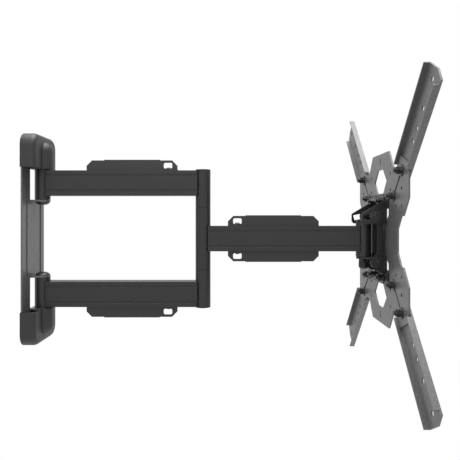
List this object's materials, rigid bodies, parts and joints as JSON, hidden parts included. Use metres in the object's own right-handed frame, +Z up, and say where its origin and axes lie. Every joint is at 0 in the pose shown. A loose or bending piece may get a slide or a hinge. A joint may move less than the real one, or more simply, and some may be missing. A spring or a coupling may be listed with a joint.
{
  "type": "full motion television wall mount",
  "caption": "Articulated wall mount for a flat screen: wall plate, paired first arms, elbow post, second arm, swivel and tilt head, and a screen plate with diagonal arms.",
  "frame": {"origin": "centre of the wall plate's back face, on the wall plane", "axes": "+X out of the wall towards the screen, +Y along the wall to the far side, +Z up"},
  "size_m": [0.563, 0.4512, 0.4484],
  "materials": {
    "plate_coat": "fine-textured satin powder coat on formed steel",
    "arm_coat": "satin powder coat on extruded aluminium",
    "bracket_coat": "satin black powder coat on folded steel",
    "cover_plastic": "fine-grained moulded ABS",
    "black_zinc": "black zinc-plated steel fasteners",
    "bright_steel": "bright zinc-plated steel",
    "black_nylon": "black moulded nylon"
  },
  "bodies": {
    "wall_unit": {"wall_plate": "plate_coat", "upper_cover": "cover_plastic", "upper_hinge_bolt": "black_zinc", "upper_hinge_nut": "bright_steel", "lower_cover": "cover_plastic", "lower_hinge_bolt": "black_zinc", "lower_hinge_nut": "bright_steel"},
    "first_arm_unit": {"upper_first_arm": "arm_coat", "upper_wall_barrel": "arm_coat", "upper_post_barrel": "arm_coat", "upper_post_cap": "black_nylon", "upper_cable_clip": "cover_plastic", "upper_clip_screw": "black_zinc", "lower_first_arm": "arm_coat", "lower_wall_barrel": "arm_coat", "lower_post_barrel": "arm_coat", "lower_post_cap": "black_nylon", "lower_cable_clip": "cover_plastic", "lower_clip_screw": "black_zinc", "elbow_shaft": "bright_steel"},
    "second_arm_unit": {"second_arm": "arm_coat", "elbow_barrel": "arm_coat", "head_barrel": "arm_coat", "upper_elbow_washer": "black_nylon", "upper_second_clip": "cover_plastic", "upper_second_clip_screw": "black_zinc", "lower_elbow_washer": "black_nylon", "lower_second_clip": "cover_plastic", "lower_second_clip_screw": "black_zinc"},
    "swivel_unit": {"swivel_bracket": "bracket_coat", "swivel_bolt": "black_zinc", "swivel_nut": "black_zinc", "swivel_cap": "black_nylon", "near_tilt_bolt": "black_zinc", "near_tilt_nut": "black_zinc", "near_pivot_bolt": "black_zinc", "near_pivot_nut": "black_zinc", "far_tilt_bolt": "black_zinc", "far_tilt_nut": "black_zinc", "far_pivot_bolt": "black_zinc", "far_pivot_nut": "black_zinc"},
    "screen_unit": {"upper_tilt_bracket": "bracket_coat", "lower_tilt_bracket": "bracket_coat", "screen_plate": "plate_coat", "upper_near_screen_arm": "plate_coat", "upper_near_inner_bolt": "black_zinc", "upper_near_outer_bolt": "black_zinc", "upper_near_bracket_bolt": "black_zinc", "upper_far_screen_arm": "plate_coat", "upper_far_inner_bolt": "black_zinc", "upper_far_outer_bolt": "black_zinc", "upper_far_bracket_bolt": "black_zinc", "lower_near_screen_arm": "plate_coat", "lower_near_inner_bolt": "black_zinc", "lower_near_outer_bolt": "black_zinc", "lower_near_bracket_bolt": "black_zinc", "lower_far_screen_arm": "plate_coat", "lower_far_inner_bolt": "black_zinc", "lower_far_outer_bolt": "black_zinc", "lower_far_bracket_bolt": "black_zinc"}
  },
  "joints": [
    {"name": "arm_swing", "type": "hinge", "parent": "wall_unit", "child": "first_arm_unit", "pos_m": [0.017, 0, 0], "axis": [0, 0, 1], "range_deg": [-90, 90]},
    {"name": "elbow", "type": "hinge", "parent": "first_arm_unit", "child": "second_arm_unit", "pos_m": [0.274, 0, 0], "axis": [0, 0, 1], "range_deg": [-120, 120]},
    {"name": "head_swivel", "type": "hinge", "parent": "second_arm_unit", "child": "swivel_unit", "pos_m": [0.531, 0, 0], "axis": [0, 0, 1], "range_deg": [-60, 60]},
    {"name": "tilt", "type": "hinge", "parent": "swivel_unit", "child": "screen_unit", "pos_m": [0.5435, 0, -0.0355], "axis": [0, 1, 0], "range_deg": [-3, 13]}
  ]
}
